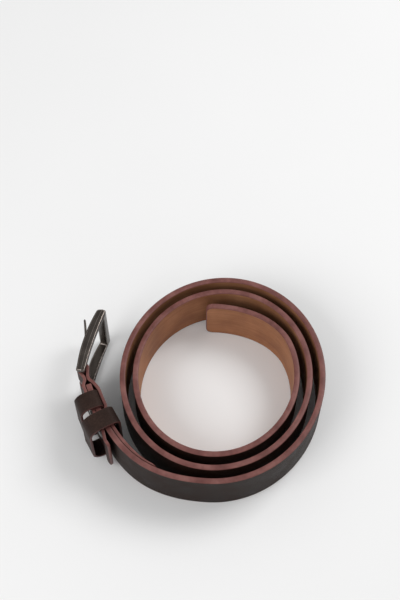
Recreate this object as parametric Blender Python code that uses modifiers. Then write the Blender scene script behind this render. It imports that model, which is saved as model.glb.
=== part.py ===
"""A leather dress belt, wound into a coil that stands on its edge.

The strap is a face leather, a reinforcing board and a lining. A thinner chape folds round the
buckle's heel bar and grips the strap's end, with two screw posts through all the layers. The first
post also holds the fixed keeper. The loose keeper slides on the strap. Metres, +Z up, floor at z = 0.
"""

import math

import bmesh
import bpy
import numpy as np
from mathutils import Matrix, Vector

MM = 0.001
NAME = "coiled_leather_belt"

# Strap
STRAP_WIDTH = 35 * MM
FACE_THICKNESS = 1.3 * MM
BOARD_THICKNESS = 0.4 * MM
LINING_THICKNESS = 1.3 * MM
GAP = 0.3 * MM
STRAP_THICKNESS = FACE_THICKNESS + BOARD_THICKNESS + LINING_THICKNESS + 2 * GAP
TIP_RADIUS = 5 * MM
HOLE_RADIUS = 2.0 * MM
HOLE_COUNT = 5
HOLE_SPACING = 25 * MM
FIRST_HOLE_FROM_TIP = 95 * MM
STATION_STEP = 5.5 * MM

# Coil: a linear spiral, stretched along one slanted axis
COIL_CENTRE = Vector((11.95 * MM, 2.2 * MM))
COIL_SLANT = -0.29
COIL_STRETCH = 1.083
COIL_RADIUS = 67.9 * MM
COIL_PITCH = 8.2 * MM
COIL_START = math.radians(-77.9)
COIL_TURNS = 2.545
TIP_DIP = 3.2 * MM
TIP_DIP_FROM = 2.335
TIP_DIP_TURNS = 0.222

# Lead-in from the strap's square end to the coil, as one Bezier curve
END_POINT = Vector((-71.05 * MM, -8.2 * MM))
END_ANGLE = math.radians(20.2)
END_HANDLE = 42 * MM
COIL_HANDLE = 45.5 * MM
RISE = 4.9 * MM
RISE_FLAT = 8 * MM
RISE_LENGTH = 112 * MM

# Chape
CHAPE_THICKNESS = 2.0 * MM
CHAPE_TAIL_THINNING = 0.45
FRONT_TAIL_AT = 42 * MM
BACK_TAIL_AT = 72 * MM
TAIL_STAND_OFF = 2.6 * MM
TAIL_LIFT_FROM = 30 * MM
TAIL_LIFT_LENGTH = 9 * MM
KEEPER_STEP_FROM = 18.2 * MM
KEEPER_STEP_LENGTH = 4.2 * MM
SKIVE_LENGTH = 26 * MM
BAR_CLEARANCE = 0.35 * MM
CHAPE_STEP = 1.3 * MM
CHAPE_END_CLEARANCE = 0.05 * MM
STRAP_CORNER_AT = -0.4 * MM
FRONT_GUIDE_STEP = 4 * MM
FRONT_GUIDE_COUNT = 10
BACK_RISE_AT = 4.6 * MM
BACK_RISE_SHORT = 0.25 * MM
BACK_GUIDES = tuple(at * MM for at in (8.5, 12.2, 16, 18, 20.6, 23, 26, 30, 34, 38))
TAIL_GUIDE_STEP = 5 * MM
TAIL_GUIDE_COUNT = 7
SLOT_HEIGHT = 8 * MM
SLOT_LENGTH = 13 * MM
SLOT_CUTTER_DEPTH = 14 * MM
SLOT_FROM_BAR = 0.7 * MM
PINCH_AT = -4.6 * MM
BAR_AT = -12 * MM

# Keepers
KEEPER_WIDTH = 12 * MM
KEEPER_THICKNESS = 1.6 * MM
FIXED_KEEPER_AT = 12.2 * MM
LOOSE_KEEPER_AT = 27 * MM
KEEPER_JOINT = 0.4 * MM
KEEPER_CLEARANCE = 0.4 * MM
# Inner sizes: back wall, front wall, half height, back corner, front corner and the ends' dome
FIXED_KEEPER_INNER = (-2.2 * MM, 10.3 * MM, 18.9 * MM, 1.8 * MM, 5.5 * MM, 0.6 * MM)
LOOSE_KEEPER_INNER = (-7.2 * MM, 11.4 * MM, 19.2 * MM, 3.4 * MM, 6 * MM, 0.7 * MM)

# Wire staple that closes the loose keeper
WIRE_RADIUS = 0.4 * MM
STAPLE_HALF_CROWN = 3.4 * MM
STAPLE_BEND = 0.7 * MM
STAPLE_LEG_PAST_WALL = 0.45 * MM

# Screw posts
FIXED_POST_AT = 12.2 * MM
TAIL_POST_AT = 26.5 * MM
POST_RADIUS = 2.0 * MM
POST_HEAD_RADIUS = 3.5 * MM
POST_HEAD_THICKNESS = 0.8 * MM
POST_BORE_RADIUS = 1.35 * MM
SCREW_RADIUS = 1.05 * MM
COUNTERBORE_DEPTH = 0.9 * MM
HEAD_PROUD = 0.2 * MM
HEAD_EDGE = 0.3 * MM
BORE_FLOOR = 0.5 * MM
BARREL_SHORT = 0.1 * MM
THREAD_CHAMFER = 0.2 * MM
POST_HOLE_LENGTH = 24 * MM
SEAT_CUTTER_LENGTH = 4 * MM
SCREW_END = -0.7 * MM
DRIVER_SLOT = (8 * MM, 0.9 * MM, 0.8 * MM)

# Buckle
FRAME_HEIGHT = 44 * MM
FRAME_CLEAR_HEIGHT = 36.8 * MM
FRAME_BEHIND_BAR = 4 * MM
FRAME_REACH = 42 * MM
FAR_BAR_WIDTH = 5.5 * MM
FRAME_HALF_DEPTH = 2.8 * MM
FRONT_BOW = 2.3 * MM
BACK_BOW = 1.0 * MM
FRAME_EDGE = 0.7 * MM
FRAME_TURN = math.radians(14.8)
BAR_RADIUS = 1.7 * MM
BAR_SEAT_DEPTH = 2.4 * MM
PRONG_REACH = 44 * MM
PRONG_RING_RADIUS = 3.5 * MM
PRONG_RING_HEIGHT = 5 * MM
PRONG_HALF_THICKNESS = 1.15 * MM
PRONG_TIP_HALF_THICKNESS = 0.75 * MM
PRONG_HALF_HEIGHT = 2.2 * MM
PRONG_NARROWING = 0.38
PRONG_OFFSET = 2.3 * MM
PRONG_DIP = 1.2 * MM
PRONG_TIP_LIFT = 2.0 * MM
PRONG_OPEN = math.radians(12.5)

MATERIALS = {
    "face_leather": ((0.022, 0.013, 0.010), 0.42, 0.0),
    "board": ((0.30, 0.22, 0.15), 0.90, 0.0),
    "lining_leather": ((0.150, 0.078, 0.045), 0.62, 0.0),
    "chape_leather": ((0.120, 0.050, 0.040), 0.50, 0.0),
    "keeper_leather": ((0.050, 0.030, 0.024), 0.45, 0.0),
    "gunmetal": ((0.090, 0.085, 0.080), 0.24, 1.0),
    "steel": ((0.42, 0.41, 0.40), 0.30, 1.0),
}


def collection(name):
    made = bpy.data.collections.new(name)
    bpy.context.scene.collection.children.link(made)
    return made


def material(name):
    found = bpy.data.materials.get(name)
    if found:
        return found
    colour, roughness, metallic = MATERIALS[name]
    made = bpy.data.materials.new(name)
    made.use_nodes = True
    shader = made.node_tree.nodes["Principled BSDF"]
    shader.inputs["Base Color"].default_value = (*colour, 1)
    shader.inputs["Roughness"].default_value = roughness
    shader.inputs["Metallic"].default_value = metallic
    return made


def smoothstep(value):
    value = min(max(value, 0.0), 1.0)
    return value * value * (3 - 2 * value)


# ---------------------------------------------------------------- the strap's centre line


def coil_point(turn):
    dip = 0.0
    if turn > TIP_DIP_FROM:
        dip = TIP_DIP * math.sin(math.pi * ((turn - TIP_DIP_FROM) / TIP_DIP_TURNS) ** 1.3)
    radius = COIL_RADIUS - COIL_PITCH * turn - dip
    angle = COIL_START + math.tau * turn
    along = Vector((math.cos(COIL_SLANT), math.sin(COIL_SLANT))) * radius * math.cos(angle)
    across = Vector((-math.sin(COIL_SLANT), math.cos(COIL_SLANT))) * radius * math.sin(angle)
    return COIL_CENTRE + along + COIL_STRETCH * across


def lead_in_point(part):
    start_direction = Vector((math.sin(END_ANGLE), -math.cos(END_ANGLE)))
    coil_direction = (coil_point(0.001) - coil_point(0)).normalized()
    corners = (
        END_POINT,
        END_POINT + END_HANDLE * start_direction,
        coil_point(0) - COIL_HANDLE * coil_direction,
        coil_point(0),
    )
    weights = ((1 - part) ** 3, 3 * (1 - part) ** 2 * part, 3 * (1 - part) * part**2, part**3)
    return sum((weight * corner for weight, corner in zip(weights, corners)), Vector((0, 0)))


class CentreLine:
    """The strap's centre line in plan, read by the distance from the strap's square end."""

    def __init__(self, lead_steps=400, coil_steps=4000):
        points = [lead_in_point(i / lead_steps) for i in range(lead_steps)]
        points += [coil_point(COIL_TURNS * i / coil_steps) for i in range(coil_steps + 1)]
        self.points = np.array(points)
        steps = np.hypot(*np.diff(self.points, axis=0).T)
        self.distances = np.concatenate([[0.0], np.cumsum(steps)])
        self.length = float(self.distances[-1])

    def point(self, at):
        if at < 0:
            return END_POINT + at * self.direction(0)
        return Vector([float(np.interp(at, self.distances, self.points[:, i])) for i in (0, 1)])

    def direction(self, at):
        reach = 0.5 * MM
        low = min(max(at - reach, 0.0), self.length - 2 * reach)
        return (self.point(low + 2 * reach) - self.point(low)).normalized()

    def outward(self, at):
        """Unit vector towards the belt's front, which is the coil's outer side."""
        direction = self.direction(at)
        return Vector((direction.y, -direction.x))

    def offset(self, at, outward):
        return self.point(at) + outward * self.outward(at)


LINE = CentreLine()


def rise(at):
    """Height of the strap's lower edge over the floor."""
    return RISE * (1 - smoothstep((at - RISE_FLAT) / RISE_LENGTH))


def mid_height(at):
    return rise(at) + STRAP_WIDTH / 2


def frame_at(at, outward=0.0):
    """Placement with X along the strap, Y up and Z towards the belt's front."""
    direction = LINE.direction(at).to_3d()
    normal = LINE.outward(at).to_3d()
    turn = Matrix((direction, Vector((0, 0, 1)), normal)).transposed().to_4x4()
    place = LINE.offset(at, outward).to_3d()
    place.z = mid_height(at)
    return Matrix.Translation(place) @ turn


# ---------------------------------------------------------------- shapes


def add_object(name, mesh, group, finish=None):
    made = bpy.data.objects.new(name, mesh)
    group.objects.link(made)
    if finish:
        mesh.materials.append(material(finish))
    return made


def mesh_from(name, work):
    bmesh.ops.recalc_face_normals(work, faces=work.faces)
    mesh = bpy.data.meshes.new(name)
    work.to_mesh(mesh)
    work.free()
    return mesh


def ribbon(name, group, finish, points, heights, thickness, thin=None, closed=False):
    """A band on edge: an open strip along points, from heights' lower to upper, thickened both ways."""
    work = bmesh.new()
    lower = [work.verts.new((x, y, low)) for (x, y), (low, _) in zip(points, heights)]
    pairs = list(zip(lower, lower[1:] + lower[:1]))
    edges = [work.edges.new(pair) for pair in (pairs if closed else pairs[:-1])]
    grown = bmesh.ops.extrude_edge_only(work, edges=edges)["geom"]
    upper = sorted((v for v in grown if isinstance(v, bmesh.types.BMVert)), key=lambda v: v.index)
    tops = {(round(x, 9), round(y, 9)): high for (x, y), (_, high) in zip(points, heights)}
    for vertex in upper:
        vertex.co.z = tops[round(vertex.co.x, 9), round(vertex.co.y, 9)]
    mesh = mesh_from(name, work)
    made = add_object(name, mesh, group, finish)
    solid = made.modifiers.new("thickness", "SOLIDIFY")
    solid.thickness = thickness
    solid.offset = 0
    solid.use_even_offset = True
    if thin:
        weights = made.vertex_groups.new(name="full_thickness")
        for vertex in mesh.vertices:
            nearest = min(range(len(points)), key=lambda i: (vertex.co.xy - points[i]).length)
            weights.add([vertex.index], thin[nearest], "REPLACE")
        solid.vertex_group = weights.name
    return made


def plate(name, group, finish, outline, half_height):
    """A flat outline in X and Y, thickened along Z by half_height both ways."""
    curve = bpy.data.curves.new(name, "CURVE")
    curve.dimensions = "2D"
    curve.fill_mode = "BOTH"
    curve.extrude = half_height
    spline = curve.splines.new("POLY")
    spline.points.add(len(outline) - 1)
    for point, (x, y) in zip(spline.points, outline):
        point.co = (x, y, 0, 1)
    spline.use_cyclic_u = True
    source = bpy.data.objects.new(name + "_outline", curve)
    group.objects.link(source)
    bpy.context.view_layer.update()
    evaluated = source.evaluated_get(bpy.context.evaluated_depsgraph_get())
    mesh = bpy.data.meshes.new_from_object(evaluated)
    mesh.name = name
    bpy.data.objects.remove(source)
    work = bmesh.new()
    work.from_mesh(mesh)
    bmesh.ops.remove_doubles(work, verts=work.verts, dist=0.001 * MM)
    bmesh.ops.recalc_face_normals(work, faces=work.faces)
    work.to_mesh(mesh)
    work.free()
    mesh.materials.clear()
    return add_object(name, mesh, group, finish)


def turned(name, group, finish, profile, steps=24):
    """A profile of (radius, height), from its top on the axis down the outer side, turned about Z."""
    work = bmesh.new()
    corners = [work.verts.new((radius, 0, height)) for radius, height in profile]
    for pair in zip(corners, corners[1:]):
        work.edges.new(pair)
    mesh = bpy.data.meshes.new(name)
    work.to_mesh(mesh)
    work.free()
    made = add_object(name, mesh, group, finish)
    screw = made.modifiers.new("turn", "SCREW")
    screw.steps = steps
    screw.render_steps = steps
    screw.use_merge_vertices = True
    screw.merge_threshold = 0.01 * MM
    screw.use_smooth_shade = False
    return made


def cylinder(name, group, radius, length, sides=16, finish=None):
    work = bmesh.new()
    bmesh.ops.create_cone(
        work, cap_ends=True, segments=sides, radius1=radius, radius2=radius, depth=length
    )
    return add_object(name, mesh_from(name, work), group, finish)


def box(name, group, size):
    work = bmesh.new()
    bmesh.ops.create_cube(work, size=1)
    bmesh.ops.scale(work, verts=work.verts, vec=size)
    return add_object(name, mesh_from(name, work), group)


def as_cutter(made):
    made.hide_render = True
    made.display_type = "WIRE"
    return made


def cut(target, cutter):
    boolean = target.modifiers.new("cut_" + cutter.name, "BOOLEAN")
    boolean.operation = "DIFFERENCE"
    boolean.object = cutter


def join(target, addition):
    boolean = target.modifiers.new("join_" + addition.name, "BOOLEAN")
    boolean.operation = "UNION"
    boolean.object = addition


def soften(target, width, segments=2):
    bevel = target.modifiers.new("soft_edges", "BEVEL")
    bevel.width = width
    bevel.segments = segments
    bevel.limit_method = "ANGLE"
    bevel.angle_limit = math.radians(40)


def shade(target):
    target.data.shade_smooth()
    target.data.set_sharp_from_angle(angle=math.radians(35))


# ---------------------------------------------------------------- strap


def strap_stations():
    """Distances along the strap, closer together where the tip's corners round off."""
    count = round((LINE.length - TIP_RADIUS) / STATION_STEP)
    even = [i * (LINE.length - TIP_RADIUS) / count for i in range(count)]
    corner = [
        LINE.length - TIP_RADIUS * (1 - math.sin(math.radians(15 * i))) for i in range(7)
    ]
    return even + corner


def corner_inset(at):
    """How far the tip's rounded corners draw the edges in at this distance."""
    left = LINE.length - at
    if left >= TIP_RADIUS:
        return 0.0
    return TIP_RADIUS - math.sqrt(TIP_RADIUS**2 - (TIP_RADIUS - left) ** 2)


def strap_layer(name, group, finish, outward, thickness, edge_inset):
    stations = strap_stations()
    points = [LINE.offset(at, outward) for at in stations]
    heights = []
    for at in stations:
        inset = corner_inset(at) + edge_inset
        heights.append((rise(at) + inset, rise(at) + STRAP_WIDTH - inset))
    return ribbon(name, group, finish, points, heights, thickness)


def build_strap(parts, cutters):
    half = STRAP_THICKNESS / 2
    layers = [
        strap_layer(
            "strap_face", parts, "face_leather", half - FACE_THICKNESS / 2, FACE_THICKNESS, 0
        ),
        strap_layer(
            "strap_board",
            parts,
            "board",
            half - FACE_THICKNESS - GAP - BOARD_THICKNESS / 2,
            BOARD_THICKNESS,
            0.5 * MM,
        ),
        strap_layer(
            "strap_lining", parts, "lining_leather", LINING_THICKNESS / 2 - half, LINING_THICKNESS, 0
        ),
    ]
    for number in range(HOLE_COUNT):
        at = LINE.length - FIRST_HOLE_FROM_TIP - number * HOLE_SPACING
        punch = cylinder(f"punch_{number + 1}", cutters, HOLE_RADIUS, 3 * STRAP_THICKNESS)
        punch.matrix_world = frame_at(at)
        for layer in layers:
            cut(layer, as_cutter(punch))
    return layers


# ---------------------------------------------------------------- chape


def front_leg_offset(at):
    contact = STRAP_THICKNESS / 2 + GAP + CHAPE_THICKNESS / 2
    return contact + TAIL_STAND_OFF * smoothstep((at - TAIL_LIFT_FROM) / TAIL_LIFT_LENGTH)


def back_leg_offset(at):
    thickness = CHAPE_THICKNESS * tail_weight(at)
    contact = STRAP_THICKNESS / 2 + GAP + thickness / 2
    round_keeper = KEEPER_THICKNESS + KEEPER_CLEARANCE
    return contact + round_keeper * (1 - smoothstep((at - KEEPER_STEP_FROM) / KEEPER_STEP_LENGTH))


def tail_weight(at):
    """Share of the full thickness that the back leg keeps towards its skived tail."""
    thinned = smoothstep((at - BACK_TAIL_AT + SKIVE_LENGTH) / SKIVE_LENGTH)
    return 1 - (1 - CHAPE_TAIL_THINNING) * thinned


def spline_through(points, step):
    """Points about step apart on a smooth curve through the given ones."""
    padded = [2 * points[0] - points[1], *points, 2 * points[-1] - points[-2]]
    made = []
    for before, start, end, after in zip(padded, padded[1:], padded[2:], padded[3:]):
        count = max(1, round((end - start).length / step))
        for i in range(count):
            t = i / count
            made.append(
                0.5
                * (
                    2 * start
                    + (end - before) * t
                    + (2 * before - 5 * start + 4 * end - after) * t**2
                    + (3 * start - before - 3 * end + after) * t**3
                )
            )
    return made + [points[-1]]


def chape_line():
    """The chape's centre line: front tail, pinch, round the heel bar, pinch, back tail."""
    loop_radius = BAR_RADIUS + BAR_CLEARANCE + CHAPE_THICKNESS / 2
    pinch = CHAPE_THICKNESS / 2 + GAP / 2
    front_end = STRAP_THICKNESS / 2 + GAP + CHAPE_THICKNESS / 2 + CHAPE_END_CLEARANCE
    reach = math.hypot(PINCH_AT - BAR_AT, pinch)
    meet = math.atan2(pinch, PINCH_AT - BAR_AT) + math.acos(loop_radius / reach)
    front = [FRONT_TAIL_AT - i * FRONT_GUIDE_STEP for i in range(FRONT_GUIDE_COUNT)]
    back = list(BACK_GUIDES)
    back += [BACK_TAIL_AT - i * TAIL_GUIDE_STEP for i in reversed(range(TAIL_GUIDE_COUNT))]
    corners = [LINE.offset(at, front_leg_offset(at)) for at in front]
    corners += [LINE.offset(STRAP_CORNER_AT, front_end), LINE.offset(PINCH_AT, pinch)]
    for i in range(9):
        angle = meet + (2 * math.pi - 2 * meet) * i / 8
        corners.append(
            LINE.offset(
                BAR_AT + loop_radius * math.cos(angle), loop_radius * math.sin(angle)
            )
        )
    corners += [LINE.offset(PINCH_AT, -pinch), LINE.offset(STRAP_CORNER_AT, -front_end)]
    corners += [LINE.offset(BACK_RISE_AT, BACK_RISE_SHORT - back_leg_offset(BACK_RISE_AT))]
    corners += [LINE.offset(at, -back_leg_offset(at)) for at in back]
    return spline_through(corners, CHAPE_STEP)


def distance_along(point):
    """The strap distance nearest to a point beside it."""
    ats = np.arange(-15 * MM, BACK_TAIL_AT + 1 * MM, 0.5 * MM)
    gaps = [(LINE.point(float(at)) - point).length for at in ats]
    return float(ats[int(np.argmin(gaps))])


def build_chape(parts, cutters):
    points = chape_line()
    ats = [distance_along(point) for point in points]
    heights = [(rise(at), rise(at) + STRAP_WIDTH) for at in ats]
    bar = ats.index(min(ats))
    thin = [tail_weight(at) if i > bar else 1.0 for i, at in enumerate(ats)]
    chape = ribbon("chape", parts, "chape_leather", points, heights, CHAPE_THICKNESS, thin)
    slot = as_cutter(box("prong_slot", cutters, (SLOT_LENGTH, SLOT_HEIGHT, SLOT_CUTTER_DEPTH)))
    slot.matrix_world = frame_at(BAR_AT + SLOT_FROM_BAR)
    cut(chape, slot)
    return chape


# ---------------------------------------------------------------- screw posts


def build_fastener(label, at, back_leg, parts, cutters, layers):
    """One post and its screw. back_leg is the offset of the chape's back leg there."""
    leg_face = STRAP_THICKNESS / 2 + GAP + CHAPE_THICKNESS
    head_top = leg_face + HEAD_PROUD
    head_low = head_top - POST_HEAD_THICKNESS
    back_face = -(back_leg + CHAPE_THICKNESS / 2)
    screw_low = back_face - GAP - POST_HEAD_THICKNESS
    barrel_end = back_face + BARREL_SHORT
    post = turned(
        label + "_post",
        parts,
        "steel",
        [
            (0, head_top),
            (POST_HEAD_RADIUS - HEAD_EDGE, head_top),
            (POST_HEAD_RADIUS, head_top - HEAD_EDGE),
            (POST_HEAD_RADIUS, head_low),
            (POST_RADIUS, head_low),
            (POST_RADIUS, barrel_end),
            (POST_BORE_RADIUS, barrel_end),
            (POST_BORE_RADIUS, BORE_FLOOR),
            (0, BORE_FLOOR),
        ],
    )
    screw = turned(
        label + "_screw",
        parts,
        "steel",
        [
            (0, SCREW_END),
            (SCREW_RADIUS - THREAD_CHAMFER, SCREW_END),
            (SCREW_RADIUS, SCREW_END - THREAD_CHAMFER),
            (SCREW_RADIUS, back_face - GAP),
            (POST_HEAD_RADIUS, back_face - GAP),
            (POST_HEAD_RADIUS, screw_low + HEAD_EDGE),
            (POST_HEAD_RADIUS - HEAD_EDGE, screw_low),
            (0, screw_low),
        ],
    )
    slot = as_cutter(box(label + "_driver_slot", cutters, DRIVER_SLOT))
    hole = as_cutter(cylinder(label + "_hole", cutters, POST_RADIUS + GAP, POST_HOLE_LENGTH))
    seat_radius = POST_HEAD_RADIUS + GAP
    seat = as_cutter(cylinder(label + "_seat", cutters, seat_radius, SEAT_CUTTER_LENGTH, 24))
    place = frame_at(at)
    for made in (post, screw, hole):
        made.matrix_world = place
    slot.matrix_world = place @ Matrix.Translation((0, 0, screw_low))
    seat_floor = leg_face - COUNTERBORE_DEPTH
    seat.matrix_world = place @ Matrix.Translation((0, 0, seat_floor + SEAT_CUTTER_LENGTH / 2))
    cut(screw, slot)
    for layer in layers:
        cut(layer, hole)
    cut(bpy.data.objects["chape"], seat)
    shade(post)
    shade(screw)


# ---------------------------------------------------------------- keepers


def keeper_outline(back, front, half_height, back_radius, front_radius, dome):
    """The loop's centre line as (outward, up) points, with rounded corners and domed ends."""
    corners = (
        (front - front_radius, half_height - front_radius, front_radius, 0),
        (back + back_radius, half_height - back_radius, back_radius, 90),
        (back + back_radius, back_radius - half_height, back_radius, 180),
        (front - front_radius, front_radius - half_height, front_radius, 270),
    )
    points = []
    for x, z, radius, start in corners:
        for i in range(7):
            angle = math.radians(start + 15 * i)
            points.append((x + radius * math.cos(angle), z + radius * math.sin(angle)))
        if start in (0, 180):
            middle = (back + front) / 2
            points.append((middle, math.copysign(half_height, z)))
    middle = (back + front) / 2
    reach = (front - back) / 2
    lifted = []
    for x, z in points:
        lift = dome * (1 - ((x - middle) / reach) ** 2) * (z / half_height)
        lifted.append(Vector((x, z + lift)))
    return lifted


def build_keeper(name, at, inner, parts, cutters):
    back, front, half_height, back_radius, front_radius, dome = inner
    half = KEEPER_THICKNESS / 2
    outline = keeper_outline(
        back - half, front + half, half_height + half, back_radius + half, front_radius + half, dome
    )
    heights = [(-KEEPER_WIDTH / 2, KEEPER_WIDTH / 2)] * len(outline)
    keeper = ribbon(
        name, parts, "keeper_leather", outline, heights, KEEPER_THICKNESS, closed=True
    )
    # The loop is drawn with outward on X and its width on Z. Swapping the two turns it inside out.
    swap_x_and_z = Matrix(((0, 0, 1, 0), (0, 1, 0, 0), (1, 0, 0, 0), (0, 0, 0, 1)))
    keeper.data.transform(swap_x_and_z)
    keeper.data.flip_normals()
    keeper.matrix_world = frame_at(at)
    joint = box(name + "_joint", cutters, (KEEPER_WIDTH * 1.2, KEEPER_JOINT, 3 * KEEPER_THICKNESS))
    joint.matrix_world = frame_at(at) @ Matrix.Translation((0, 0, back - half))
    cut(keeper, as_cutter(joint))
    return keeper


def build_staple(keeper, at, back_inner, parts, cutters):
    """A wire staple that bridges the loose keeper's butt joint from outside."""
    crown = back_inner - KEEPER_THICKNESS - GAP - WIRE_RADIUS
    leg_end = back_inner + STAPLE_LEG_PAST_WALL
    bend_centre = Vector((STAPLE_HALF_CROWN - STAPLE_BEND, crown + STAPLE_BEND))
    upper = [Vector((STAPLE_HALF_CROWN, leg_end)), Vector((STAPLE_HALF_CROWN, bend_centre.y))]
    for i in range(1, 4):
        angle = math.radians(30 * i)
        upper.append(bend_centre + STAPLE_BEND * Vector((math.cos(angle), -math.sin(angle))))
    route = upper + [Vector((-up, out)) for up, out in reversed(upper)]
    curve = bpy.data.curves.new("loose_keeper_staple", "CURVE")
    curve.dimensions = "3D"
    curve.bevel_depth = WIRE_RADIUS
    curve.bevel_resolution = 2
    curve.use_fill_caps = True
    spline = curve.splines.new("POLY")
    spline.points.add(len(route) - 1)
    for point, (up, out) in zip(spline.points, route):
        point.co = (0, up, out, 1)
    staple = bpy.data.objects.new("loose_keeper_staple", curve)
    curve.materials.append(material("steel"))
    parts.objects.link(staple)
    staple.matrix_world = frame_at(at)
    for side, up in (("upper", STAPLE_HALF_CROWN), ("lower", -STAPLE_HALF_CROWN)):
        hole = cylinder(f"staple_{side}_hole", cutters, WIRE_RADIUS + GAP, 3 * KEEPER_THICKNESS, 12)
        hole.matrix_world = frame_at(at) @ Matrix.Translation((0, up, back_inner))
        cut(keeper, as_cutter(hole))


# ---------------------------------------------------------------- buckle


def bar_axis(parts):
    """The empty on the heel bar's axis that the buckle's pieces hang from, X towards the far bar."""
    pivot = bpy.data.objects.new("heel_bar_axis", None)
    parts.objects.link(pivot)
    place = LINE.point(BAR_AT).to_3d()
    place.z = mid_height(BAR_AT)
    pivot.location = place
    pivot.rotation_euler = (0, 0, math.pi / 2 - FRAME_TURN)
    return pivot


def bow(x):
    """Share of the frame's bow at a distance x from the heel bar."""
    middle = (FRAME_REACH - FRAME_BEHIND_BAR) / 2
    reach = (FRAME_REACH + FRAME_BEHIND_BAR) / 2
    return 1 - ((x - middle) / reach) ** 2


def build_frame(pivot, parts, cutters):
    length = FRAME_REACH + FRAME_BEHIND_BAR
    stations = [i * length / 14 - FRAME_BEHIND_BAR for i in range(15)]
    front = [(x, FRAME_HALF_DEPTH + FRONT_BOW * bow(x)) for x in stations]
    back = [(x, BACK_BOW * bow(x) - FRAME_HALF_DEPTH) for x in reversed(stations)]
    outline = list(reversed(front + back))
    buckle = plate("buckle_frame", parts, "gunmetal", outline, FRAME_HEIGHT / 2)
    window_from = -2 * FRAME_BEHIND_BAR
    window_to = FRAME_REACH - FAR_BAR_WIDTH
    window = box(
        "frame_window", cutters, (window_to - window_from, 20 * MM, FRAME_CLEAR_HEIGHT)
    )
    window.location = ((window_to + window_from) / 2, 0, 0)
    seat_length = FRAME_CLEAR_HEIGHT + 2 * (BAR_SEAT_DEPTH + GAP)
    seats = cylinder("bar_seats", cutters, BAR_RADIUS + GAP, seat_length, 20)
    for cutter in (window, seats):
        cutter.parent = pivot
        as_cutter(cutter)
    cut(buckle, window)
    soften(buckle, FRAME_EDGE)
    cut(buckle, seats)
    buckle.parent = pivot
    shade(buckle)
    bar = cylinder(
        "heel_bar",
        parts,
        BAR_RADIUS,
        FRAME_CLEAR_HEIGHT + 2 * BAR_SEAT_DEPTH,
        20,
        "steel",
    )
    bar.parent = pivot
    shade(bar)


def build_prong(pivot, parts, cutters):
    """A tongue with a ring round the heel bar: it dips into the frame and lifts over the far bar."""
    stations = [1 * MM + i * (PRONG_REACH - 1 * MM) / 16 for i in range(17)]
    front, back = [], []
    for x in stations:
        part = x / PRONG_REACH
        middle = PRONG_OFFSET - PRONG_DIP * math.sin(math.pi * part) + PRONG_TIP_LIFT * part**2
        half = PRONG_HALF_THICKNESS + (PRONG_TIP_HALF_THICKNESS - PRONG_HALF_THICKNESS) * part
        front.append((x, middle + half))
        back.append((x, middle - half))
    prong = plate("prong", parts, "gunmetal", front[::-1] + back, PRONG_HALF_HEIGHT)
    for vertex in prong.data.vertices:
        vertex.co.z *= 1 - PRONG_NARROWING * max(vertex.co.x, 0) / PRONG_REACH
    ring = cylinder("prong_ring", cutters, PRONG_RING_RADIUS, PRONG_RING_HEIGHT, 24)
    bore = cylinder("prong_bore", cutters, BAR_RADIUS + GAP, 2 * PRONG_RING_HEIGHT, 24)
    join(prong, as_cutter(ring))
    cut(prong, as_cutter(bore))
    for made in (prong, ring, bore):
        made.parent = pivot
        made.rotation_euler = (0, 0, PRONG_OPEN)
    shade(prong)


# ---------------------------------------------------------------- assembly


def main():
    for old in list(bpy.data.objects):
        bpy.data.objects.remove(old)
    parts = collection(NAME)
    cutters = collection("cutters")
    layers = build_strap(parts, cutters)
    chape = build_chape(parts, cutters)
    fixed_keeper = build_keeper(
        "fixed_keeper", FIXED_KEEPER_AT, FIXED_KEEPER_INNER, parts, cutters
    )
    loose_keeper = build_keeper(
        "loose_keeper", LOOSE_KEEPER_AT, LOOSE_KEEPER_INNER, parts, cutters
    )
    build_staple(loose_keeper, LOOSE_KEEPER_AT, LOOSE_KEEPER_INNER[0], parts, cutters)
    build_fastener(
        "keeper",
        FIXED_POST_AT,
        back_leg_offset(FIXED_POST_AT),
        parts,
        cutters,
        [*layers, chape, fixed_keeper],
    )
    build_fastener(
        "tail", TAIL_POST_AT, back_leg_offset(TAIL_POST_AT), parts, cutters, [*layers, chape]
    )
    pivot = bar_axis(parts)
    build_frame(pivot, parts, cutters)
    build_prong(pivot, parts, cutters)


main()
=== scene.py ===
"""The leather dress belt's looks: strap, chape, keepers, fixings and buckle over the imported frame."""

import math

import bmesh
import bpy
import numpy as np
from mathutils import Matrix, Vector


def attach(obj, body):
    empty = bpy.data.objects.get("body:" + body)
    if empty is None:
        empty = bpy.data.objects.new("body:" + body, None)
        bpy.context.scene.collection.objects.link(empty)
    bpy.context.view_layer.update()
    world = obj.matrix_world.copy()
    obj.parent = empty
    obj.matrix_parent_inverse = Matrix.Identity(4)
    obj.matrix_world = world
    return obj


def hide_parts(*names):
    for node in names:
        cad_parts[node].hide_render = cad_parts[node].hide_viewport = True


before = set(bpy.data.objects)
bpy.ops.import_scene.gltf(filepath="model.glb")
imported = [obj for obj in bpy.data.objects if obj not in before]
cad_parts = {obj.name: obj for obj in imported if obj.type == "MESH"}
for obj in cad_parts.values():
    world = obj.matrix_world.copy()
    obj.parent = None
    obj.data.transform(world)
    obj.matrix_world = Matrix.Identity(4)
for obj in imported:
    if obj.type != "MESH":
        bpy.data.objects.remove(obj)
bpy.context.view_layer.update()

MM = 0.001

# Strap
STRAP_WIDTH = 35 * MM
FACE_THICKNESS = 1.3 * MM
LINING_THICKNESS = 1.3 * MM
STRAP_THICKNESS = 3.6 * MM
TIP_RADIUS = 5 * MM
HOLE_RADIUS = 2.0 * MM
HOLE_COUNT = 5
HOLE_SPACING = 25 * MM
FIRST_HOLE_FROM_TIP = 95 * MM
STRIP_STEP = 2.0 * MM
ROUTE_STEP = 0.5 * MM

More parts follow.
